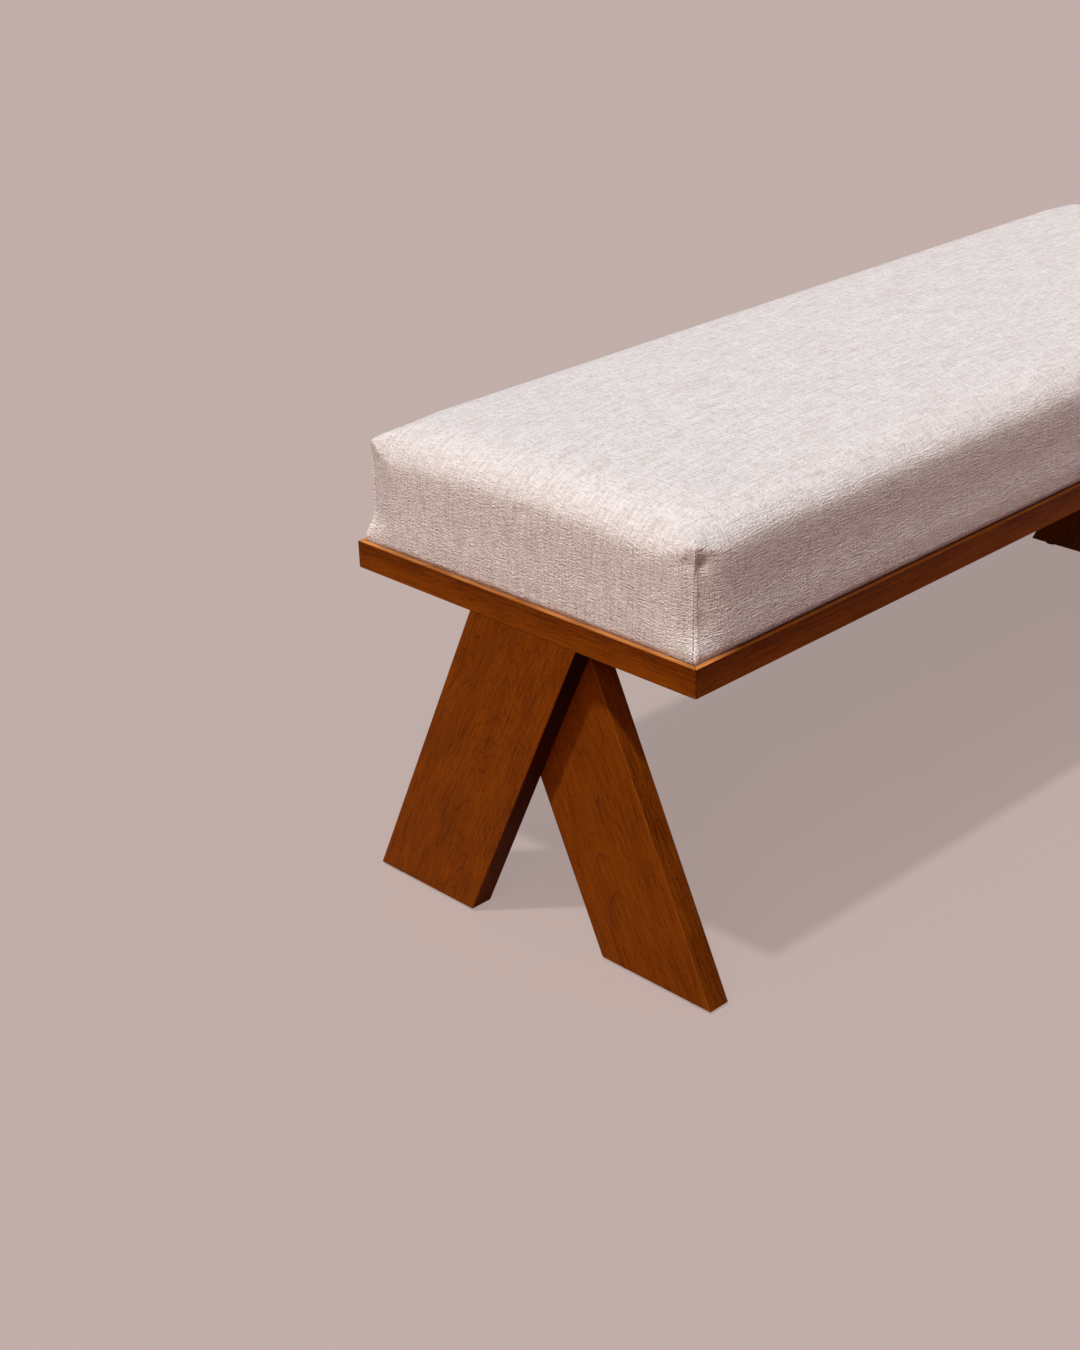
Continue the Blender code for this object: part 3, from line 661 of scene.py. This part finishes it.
def seam_colour(add, colour, seat):
    """The cloth's colour with its sewn corners.

    The seam is a dark line beside its folded edge, which gets a painted highlight.
    Beside it the yarns over the allowance are drawn askew.
    """
    aside = add("Attribute", attribute_name="seam_aside").outputs["Fac"]
    sewn = add("Attribute", attribute_name="seam_strength").outputs["Fac"]

    def by_seam(middle, half, share, blur):
        """A share on a strip beside the seam that fades within the blur at its edges."""
        off = add("Math", {0: aside, 1: middle}, operation="SUBTRACT")
        off = add("Math", {0: off}, operation="ABSOLUTE")
        rim = {"From Min": half - blur, "From Max": half, "To Min": share, "To Max": 0.0}
        strip = add("MapRange", {"Value": off, **rim})
        return add("Math", {0: strip, 1: sewn}, operation="MULTIPLY")

    place = add("TexCoord").outputs["Object"]
    height = add("SeparateXYZ", {"Vector": place}).outputs["Z"]
    askew = add("Math", {0: height, 1: aside})
    # The needle's holes lie 4 mm apart, and so do the drawn yarns, to show at all
    stitches, drawn = [
        add("TexWave", {"Vector": add("CombineXYZ", {"X": along}), "Scale": math.pi / 10 / spacing})
        for along, spacing in ((height, 4 * MM), (askew, 4.2 * MM))
    ]
    pierced = add("MapRange", {"Value": stitches, "From Min": 0.2, "From Max": 0.7, "To Min": 0.25})
    for strip, shape, tint in (
        (by_seam(11 * MM, 9 * MM, 0.22, 4 * MM), drawn, seat.fleck),
        # The folded edge gets a painted highlight
        (by_seam(FOLD_ASIDE * MM, 2.0 * MM, 0.9, 1.7 * MM), None, seat.pale_yarn_and_highlight),
        (by_seam(1.1 * MM, 1.1 * MM, 0.9, 0.9 * MM), pierced, seat.fleck),
    ):
        if shape:
            strip = add("Math", {0: strip, 1: shape}, operation="MULTIPLY")
        colour = add("Mix", {"Factor": strip, "A": colour, "B": tint}, data_type="RGBA")
    return colour


def linen(seat):
    """Oatmeal linen in a plain weave, of slubby yarns that each have a tone of their own.

    Pale and darker yarns cross, so the cloth looks speckled close by and faintly streaked from
    further off. Linen of this weight has about 12 yarns to the centimetre. They are drawn a
    little coarser, because a finer weave would not show at the size the bench is seen in.
    """
    finish = {"Roughness": 0.9, "Sheen_Weight": 0.06, "Sheen_Roughness": 0.5}
    material, add, shader = new_material("oatmeal_linen", Specular_IOR_Level=0.12, **finish)
    colour, relief = weave(add, add("UVMap", uv_map="cloth"), seat)
    bump = add("Bump", {"Height": relief, "Distance": 0.86 * MM})
    connect(shader, Base_Color=seam_colour(add, colour, seat), Normal=bump)
    return material


class BENCH_OT_make_cover(bpy.types.Operator):
    """Make the seat cover, drawn tight over the padding and sewn at its corners"""

    bl_idname = "bench.make_cover"
    bl_label = "Make seat cover"

    def execute(self, context):
        seat = context.scene.bench_seat
        shape = PadShape(seat, 0.0, roll_steps=10, length_steps=44, depth_steps=14)
        wall_steps = 12
        tucked = (0.0, COVER_BOTTOM - LIP_TOP + 1.5 * MM)
        bm, keys = pad_mesh(shape, wall_steps, tucked, turn_in=25 * MM)
        lay_cloth(bm, keys, shape, wall_steps + len(tucked) + 1)
        cover = object_from("linen_seat_cover", bm)
        draw_tight(cover, cap=3 * MM)
        refine(cover)
        sew_corners(cover, seat)
        wall = cover.modifiers.new("Cloth thickness", "SOLIDIFY")
        wall.thickness = seat.cloth_thickness
        wall.offset = -1
        dress(cover, linen(seat))
        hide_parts("seat_cover")
        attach(cover, BODY)
        return {"FINISHED"}


def soft_filling(name, pale, dark, pore, relief):
    """Pale filling with fine pores or fibres of a given size."""
    material, add, shader = new_material(name, Roughness=0.95, Specular_IOR_Level=0.1)
    place = add("TexCoord").outputs["Object"]
    grit = add("TexNoise", {"Vector": place, "Scale": 1 / pore, "Detail": 3.0})
    two_tone(add, shader, grit, (linear(dark), linear(pale)), relief, strength=0.5)
    return material


class BENCH_OT_make_padding(bpy.types.Operator):
    """Make the foam block and the wadding that lie under the cover"""

    bl_idname = "bench.make_padding"
    bl_label = "Make padding"

    def execute(self, context):
        seat = context.scene.bench_seat
        wadding_inset = 2.5 * MM
        foam_inset = 7 * MM
        # Polyurethane foam, cut from a block: open pores of about half a millimetre
        shape = PadShape(seat, foam_inset, roll_steps=5, length_steps=16, depth_steps=6)
        bm, _ = pad_mesh(shape, 4)
        rim = [edge for edge in bm.edges if edge.is_boundary]
        bmesh.ops.edgeloop_fill(bm, edges=rim)
        foam = object_from("foam_block", bm)
        dress(foam, soft_filling("open_cell_foam", "#f0e8cf", "#dccfa8", 0.7 * MM, 0.4 * MM))

        # Polyester wadding, needled into a soft sheet: loose fibres
        shape = PadShape(seat, wadding_inset, roll_steps=6, length_steps=20, depth_steps=8)
        bm, _ = pad_mesh(shape, 4)
        wadding = object_from("wadding_wrap", bm)
        wall = wadding.modifiers.new("Wadding thickness", "SOLIDIFY")
        wall.thickness = 3.5 * MM
        wall.offset = -1
        dress(wadding, soft_filling("needled_wadding", "#f6f6f4", "#e0e0de", 2.5 * MM, 0.8 * MM))

        for piece, node in ((foam, "seat_foam"), (wadding, "seat_wadding")):
            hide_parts(node)
            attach(piece, BODY)
        return {"FINISHED"}


# Timber


def board_turn(along, across):
    """The turn that takes the bench's axes to a board's: X along its grain, Y across it."""
    along = Vector(along).normalized()
    across = Vector(across).normalized()
    return Matrix((along, across, along.cross(across)))


def growth_lines(add, board, grain, ring, seed):
    """Thin dark lines of late wood, broken here and there."""
    # The tree's middle lies below the board and a little askew to it
    slant = add(
        "Mapping",
        {
            "Vector": board,
            "Location": (0, (seed % 3 - 1) * 14 * MM, (40 + 8 * (seed % 4)) * MM),
            "Rotation": (0, math.radians(9 + seed % 3), math.radians(1.5)),
        },
    )
    sway = grain(120 * MM, 36 * MM, 1.0, 3.7)
    sideways = add("Math", {0: sway, 1: 20 * MM}, operation="MULTIPLY")
    deeper = add("Math", {0: sway, 1: 30 * MM}, operation="MULTIPLY")
    swayed = add("VectorMath", {0: slant, 1: add("CombineXYZ", {"Y": sideways, "Z": deeper})})
    rings = add(
        "TexWave",
        {"Vector": swayed, "Scale": math.pi / 10 / ring},
        wave_type="RINGS",
        wave_profile="SAW",
    )
    late = add("MapRange", {"Value": rings, "From Min": 0.72}, interpolation_type="SMOOTHSTEP")
    broken = grain(50 * MM, 9 * MM, 2.0, 11.0)
    depth = {"From Min": 0.35, "From Max": 0.65, "To Min": 0.04, "To Max": 0.25}
    faint = add("MapRange", {"Value": broken, **depth})
    return add("Math", {0: late, 1: faint}, operation="MULTIPLY")


def stained_hardwood(name, turn, middle, halves, timber, seed, lip=0.0, under=1):
    """Hardwood under a reddish-brown stain and a thin satin lacquer.

    The growth rings are cut at a slant: thin dark lines that make long arches on the wide faces
    and run nearly straight on the narrow ones. Between them lie short dark pores and paler fibres.
    At the edges a paler colour paints their highlight. A rail has a lip, the share of it that gets
    the painted highlight, and painted shade where it gets less. A plank has an under side, 1 or -1
    across its grain, whose edge gets painted shade.
    """
    material, add, shader = new_material("stained_hardwood_" + name, Specular_IOR_Level=0.03)
    place = add("TexCoord").outputs["Object"]
    board = add(
        "Mapping",
        {"Vector": place, "Rotation": turn.to_euler("XYZ"), "Location": -(turn @ Vector(middle))},
    )

    def grain(length, width, detail, offset):
        """Noise drawn out along the grain."""
        spread = add(
            "Mapping",
            {
                "Vector": board,
                "Scale": (1 / length, 1 / width, 1 / width),
                "Location": (seed, offset, seed),
            },
        )
        return add("TexNoise", {"Vector": spread, "Scale": 1.0, "Detail": detail})

    fibre = grain(34 * MM, 1.3 * MM, 3.0, 0.0)
    # Real pores are a fifth as wide, and are drawn coarser to show at all
    pore = grain(7 * MM, 0.9 * MM, 1.0, 8.0)
    mottle = grain(60 * MM, 22 * MM, 2.0, 5.0)
    dark = add("MapRange", {"Value": fibre, "From Min": 0.3, "From Max": 0.75, "To Max": 0.5})
    pores = add("MapRange", {"Value": pore, "From Min": 0.56, "From Max": 0.70, "To Max": 0.3})
    blotch = add("MapRange", {"Value": mottle, "From Min": 0.3, "From Max": 0.7, "To Max": 0.24})
    parts = add("SeparateXYZ", {"Vector": board}).outputs
    from_middle = [add("Math", {0: parts[axis]}, operation="ABSOLUTE") for axis in "YZ"]
    if lip:
        # The rail's face is darker towards its top and lighter towards its bottom
        height = add("SeparateXYZ", {"Vector": place}).outputs["Z"]
        rail = {"From Min": RAIL_BOTTOM, "From Max": LIP_TOP}
        shade = add("MapRange", {"Value": height, **rail, "To Min": -0.12, "To Max": 0.30})
    else:
        # The narrow edges of a plank get a little painted shade
        rim = {"From Min": halves[0] - 0.6 * MM, "From Max": halves[0]}
        shade = add("MapRange", {"Value": from_middle[0], **rim, "To Max": 0.25})
    # Grain, pores and blotches add to the shading above
    for part in (growth_lines(add, board, grain, timber.ring, seed), pores, blotch, shade):
        dark = add("Math", {0: dark, 1: part})
    layers = [(dark, timber.grain_and_shade)]

    # Painted highlight along the board's edges, where both its faces end
    edges = [
        add(
            "MapRange",
            {"Value": distance, "From Min": half - timber.arris, "From Max": half},
            interpolation_type="SMOOTHSTEP",
        )
        for distance, half in zip(from_middle, halves)
    ]
    edge_highlight = add("Math", {0: edges[0], 1: edges[1]}, operation="MULTIPLY")
    edge_highlight = add("Math", {0: edge_highlight, 1: 0.14}, operation="MULTIPLY")
    if lip:
        # Most painted highlight at the lip's corners; painted shade on the rest of its top
        skin = {"From Min": LIP_TOP - 0.35 * MM, "From Max": LIP_TOP - 0.1 * MM}
        on_top = add("MapRange", {"Value": height, **skin})
        lengthwise = add("Math", {0: parts["X"]}, operation="ABSOLUTE")
        rim = {"From Min": halves[2] - 60 * MM, "From Max": halves[2] - 20 * MM}
        share = add("MapRange", {"Value": lengthwise, **rim, "To Min": lip, "To Max": 0.9})
        lip_shade = add("MapRange", {"Value": share, "To Min": 0.85, "To Max": 0.0})
        lip_shade = add("Math", {0: on_top, 1: lip_shade}, operation="MULTIPLY")
        layers.append((lip_shade, timber.grain_and_shade))
        on_top = add("Math", {0: on_top, 1: share}, operation="MULTIPLY")
        edge_highlight = add("Math", {0: edge_highlight, 1: on_top}, operation="MAXIMUM")
    # The painted highlight is broken up in patches
    highlight_breaks = add("MapRange", {"Value": mottle, "From Min": 0.35, "From Max": 0.65, "To Min": 0.35})
    layers.append((add("Math", {0: edge_highlight, 1: highlight_breaks}, operation="MULTIPLY"), timber.edge_highlight))
    if not lip:
        # Painted shade on a plank's lower edge, which faces down
        lower = add("Math", {0: parts["Y"], 1: under}, operation="MULTIPLY")
        lower_shade = add("MapRange", {"Value": lower, **rim, "To Max": 0.96})
        layers.append((lower_shade, timber.lower_edge_shade))
    colour = timber.stain
    for share, tint in layers:
        colour = add("Mix", {"Factor": share, "A": colour, "B": tint}, data_type="RGBA")
    satin = {"From Min": 0.3, "From Max": 0.8, "To Min": 0.34, "To Max": 0.48}
    gloss = add("MapRange", {"Value": fibre, **satin})
    hollow = add("Math", {0: pores, 1: -2.0, 2: fibre}, operation="MULTIPLY_ADD")
    bump = add("Bump", {"Height": hollow, "Strength": 0.3, "Distance": 0.2 * MM})
    connect(shader, Base_Color=colour, Roughness=gloss, Normal=bump)
    return material


class BENCH_OT_finish_timber(bpy.types.Operator):
    """Stain and lacquer the rails and the leg planks"""

    bl_idname = "bench.finish_timber"
    bl_label = "Finish timber"

    def execute(self, context):
        timber = context.scene.bench_timber
        # Every board is cut from another place in the tree
        seed = 1
        axes = Matrix.Identity(3)
        # The last number is the share of the lip that gets painted highlight away from the corners
        for rail, sides, along, across, lip in (
            ("side_rail_", ("front", "back"), 0, 1, 0.03),
            ("end_rail_", ("left", "right"), 1, 0, 0.8),
        ):
            turn = board_turn(axes[along], axes[across])
            for side in sides:
                node = rail + side
                low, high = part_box(node)
                middle, reach = (low + high) / 2, (high - low) / 2
                halves = (reach[across], reach.z, reach[along])
                material = stained_hardwood(node, turn, middle, halves, timber, seed, lip=lip)
                dress(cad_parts[node], material)
                seed += 1
        for end in ("left", "right"):
            for layer, foot_side in (("outer", 1), ("inner", -1)):
                node = f"leg_{end}_{layer}"
                low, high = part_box(node)
                middle = (low + high) / 2
                span = plank_span(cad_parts[node], low.z)
                run = high.y - low.y - span
                down = Vector((0, foot_side * run, low.z - high.z)).normalized()
                turn = board_turn(down, Vector((1, 0, 0)).cross(down))
                width = span * abs(down.z)
                halves = (width / 2, (high.x - low.x) / 2)
                under = -foot_side
                material = stained_hardwood(node, turn, middle, halves, timber, seed, under=under)
                dress(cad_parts[node], material)
                seed += 1
        return {"FINISHED"}


def plank_span(node, foot):
    """How far a leaning plank reaches along Y at its foot."""
    places = vertex_array(node.data)
    at_foot = places[places[:, 2] < foot + 2 * MM][:, 1]
    return at_foot.max() - at_foot.min()


def plain_wood(name, turn, pale, dark, ply=0.0):
    """Sanded, unfinished wood; with a ply thickness its edges show the layers of the board."""
    material, add, shader = new_material(name, Roughness=0.62, Specular_IOR_Level=0.3)
    place = add("TexCoord").outputs["Object"]
    board = add("Mapping", {"Vector": place, "Rotation": turn.to_euler("XYZ")})
    across = 1 / (1.1 * MM)
    spread = add("Mapping", {"Vector": board, "Scale": (1 / (40 * MM), across, across)})
    shade = add("TexNoise", {"Vector": spread, "Scale": 1.0, "Detail": 3.0})
    if ply:
        wave = {"Vector": place, "Scale": math.pi / 10 / (2 * ply)}
        layers = add("TexWave", wave, bands_direction="Z")
        shade = add("Math", {0: shade, 1: layers}, operation="MULTIPLY")
    two_tone(add, shader, shade, (linear(pale), linear(dark)), 0.2 * MM)
    return material


class BENCH_OT_finish_inner_wood(bpy.types.Operator):
    """Finish the cross rails, corner blocks, splines, dowels and the deck as plain wood"""

    bl_idname = "bench.finish_inner_wood"
    bl_label = "Finish inner wood"

    def execute(self, context):
        # Beech, planed and sanded: pale pinkish brown with short dark rays
        lengthwise = board_turn((1, 0, 0), (0, 1, 0))
        crosswise = board_turn((0, 1, 0), (1, 0, 0))
        beech_along = plain_wood("plain_beech_along", lengthwise, "#d9b48c", "#b98c62")
        beech_across = plain_wood("plain_beech_across", crosswise, "#d9b48c", "#b98c62")
        # Birch plywood of nine layers, sanded
        plywood = plain_wood("birch_plywood", lengthwise, "#dcc29a", "#c19e6f", ply=1.35 * MM)
        for name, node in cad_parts.items():
            if name.startswith("cross_rail"):
                dress(node, beech_across)
            elif name.startswith(("corner_block", "mitre_spline", "lap_dowel")):
                dress(node, beech_along)
            elif name == "seat_deck":
                dress(node, plywood)
        return {"FINISHED"}


# Fittings


def fitting(name, code, grit, spread, relief, **constants):
    """A fitting's finish: one colour with fine unevenness in colour, gloss and surface."""
    material, add, shader = new_material(name, **constants)
    place = add("TexCoord").outputs["Object"]
    noise = add("TexNoise", {"Vector": place, "Scale": 1 / grit, "Detail": 3.0})
    shade = [channel * (1 - spread) for channel in linear(code)]
    rough = constants["Roughness"]
    gloss = add("MapRange", {"Value": noise, "To Min": rough - 0.06, "To Max": rough + 0.08})
    two_tone(add, shader, noise, (shade, linear(code)), relief, Roughness=gloss)
    return material


class BENCH_OT_finish_fittings(bpy.types.Operator):
    """Finish the bolts, nuts, screws, glides and the lining under the deck"""

    bl_idname = "bench.finish_fittings"
    bl_label = "Finish fittings"

    def execute(self, context):
        # Steel, cold headed and zinc plated: bluish grey with a soft shine
        metal = {"relief": 0.02 * MM, "Metallic": 1.0}
        steel = fitting("zinc_plated_steel", "#c3c6c9", 1.5 * MM, 0.25, Roughness=0.34, **metal)
        # Brass, turned from bar
        brass = fitting("turned_brass", "#d9b36c", 0.8 * MM, 0.2, Roughness=0.30, **metal)
        # Nylon, moulded: dark brown with a slight grain
        nylon = fitting("moulded_nylon", "#3a2a20", 1.0 * MM, 0.25, 0.05 * MM, Roughness=0.50)
        # Polypropylene lining, spun and pressed: black with a fibrous surface
        lining = fitting("spunbond_lining", "#201f1f", 1.6 * MM, 0.5, 0.15 * MM, Roughness=0.85)
        finishes = {
            "leg_bolt": steel,
            "deck_screw": steel,
            "barrel_nut": brass,
            "foot_glide": nylon,
            "dust_cover": lining,
        }
        for name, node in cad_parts.items():
            for start, material in finishes.items():
                if name.startswith(start):
                    dress(node, material)
        return {"FINISHED"}


# Stage


def pale_to_camera(add, seen, bounced):
    """A colour that the camera, mirrors and glass see, and another that soft light takes."""
    path = add("LightPath").outputs
    looks = add("Math", {0: path["Is Camera Ray"], 1: path["Is Glossy Ray"]}, operation="MAXIMUM")
    looks = add("Math", {0: looks, 1: path["Is Transmission Ray"]}, operation="MAXIMUM")
    return add("Mix", {"Factor": looks, "A": bounced, "B": seen}, data_type="RGBA")


class BENCH_OT_set_stage(bpy.types.Operator):
    """Set up the floor, the lamps, the surroundings and the camera"""

    bl_idname = "bench.set_stage"
    bl_label = "Set stage"

    def execute(self, context):
        stage = context.scene.bench_stage
        bm = bmesh.new()
        bmesh.ops.create_grid(bm, x_segments=1, y_segments=1, size=30.0)
        floor = object_from("floor", bm)
        material, add, shader = new_material("matt_floor", Roughness=0.95, Specular_IOR_Level=0.0)
        # To the camera, part of the floor's colour shows without light, so its shadow is pale
        camera_ray = add("LightPath").outputs["Is Camera Ray"]
        lit = [channel * (1 - stage.glow) for channel in stage.floor]
        own = [channel * stage.glow for channel in stage.floor]
        seen, glow = [
            add("Mix", {"Factor": camera_ray, "A": elsewhere, "B": to_camera}, data_type="RGBA")
            for elsewhere, to_camera in ((stage.floor, lit), (BLACK, own))
        ]
        base = pale_to_camera(add, seen, stage.bounce)
        connect(shader, Base_Color=base, Emission_Color=glow)
        shader.inputs["Emission Strength"].default_value = 1.0
        dress(floor, material)

        # The key lamp stands high to the left, and a broad soft one beside the camera
        for name, energy, colour, angle, travel in (
            ("key_lamp", stage.key, (0.975, 1.0, 0.99), 3, (1.0, 0.17, -2.4)),
            ("fill_lamp", stage.fill, (1.0, 0.68, 0.46), 50, (0.66, 0.36, -0.66)),
        ):
            sun = bpy.data.lights.new(name, "SUN")
            sun.energy = energy
            sun.color = colour
            sun.angle = math.radians(angle)
            lamp = bpy.data.objects.new(name, sun)
            lamp.rotation_euler = Vector(travel).to_track_quat("-Z", "Y").to_euler()
            context.scene.collection.objects.link(lamp)

        world = bpy.data.worlds.new("surroundings")
        context.scene.world = world
        world.use_nodes = True
        background = world.node_tree.nodes["Background"]
        add = partial(add_node, world.node_tree)
        # Brightest overhead, and dark at the horizon
        height = add("SeparateXYZ", {"Vector": add("TexCoord").outputs["Generated"]}).outputs["Z"]
        zenith = [stage.sky * channel for channel in (0.74, 1.05, 1.55)]
        above = add("Mix", {"Factor": height, "A": BLACK, "B": zenith}, data_type="RGBA")
        connect(background, Color=pale_to_camera(add, stage.floor, above))

        camera = bpy.data.cameras.new("camera")
        camera.sensor_fit = "AUTO"
        camera.sensor_width = 36.0
        camera.lens = 57.25
        camera.clip_end = 100.0
        view = bpy.data.objects.new("camera", camera)
        view.matrix_world = (
            Matrix.Translation((-1.8014, -1.2750, 1.1225))
            @ Matrix.Rotation(math.radians(-43.97), 4, "Z")
            @ Matrix.Rotation(math.radians(64.38), 4, "X")
            @ Matrix.Rotation(math.radians(-1.75), 4, "Z")
        )
        context.scene.collection.objects.link(view)
        context.scene.camera = view
        context.scene.view_settings.view_transform = "Standard"
        return {"FINISHED"}


class BENCH_PT_panel(bpy.types.Panel):
    """The bench's steps and settings"""

    bl_idname = "BENCH_PT_panel"
    bl_label = "Upholstered bench"
    bl_space_type = "VIEW_3D"
    bl_region_type = "UI"
    bl_category = "Bench"

    def draw(self, context):
        for operator in OPERATORS:
            self.layout.operator(operator.bl_idname)
        for settings in SETTINGS:
            group = getattr(context.scene, settings)
            box = self.layout.box()
            for name in group.bl_rna.properties.keys():
                if name not in ("rna_type", "name"):
                    box.prop(group, name)


OPERATORS = (
    BENCH_OT_make_cover,
    BENCH_OT_make_padding,
    BENCH_OT_finish_timber,
    BENCH_OT_finish_inner_wood,
    BENCH_OT_finish_fittings,
    BENCH_OT_set_stage,
)
SETTINGS = {
    "bench_seat": BenchSeatSettings,
    "bench_timber": BenchTimberSettings,
    "bench_stage": BenchStageSettings,
}


def register():
    """Register the settings, the steps and the panel."""
    for name, group in SETTINGS.items():
        bpy.utils.register_class(group)
        setattr(bpy.types.Scene, name, PointerProperty(type=group))
    for item in (*OPERATORS, BENCH_PT_panel):
        bpy.utils.register_class(item)


def unregister():
    """Take away what register added."""
    for item in reversed((*OPERATORS, BENCH_PT_panel)):
        bpy.utils.unregister_class(item)
    for name, group in SETTINGS.items():
        delattr(bpy.types.Scene, name)
        bpy.utils.unregister_class(group)


def main():
    """Run every step in order."""
    register()
    for operator in OPERATORS:
        group, name = operator.bl_idname.split(".")
        getattr(getattr(bpy.ops, group), name)()


if __name__ == "__main__":
    main()
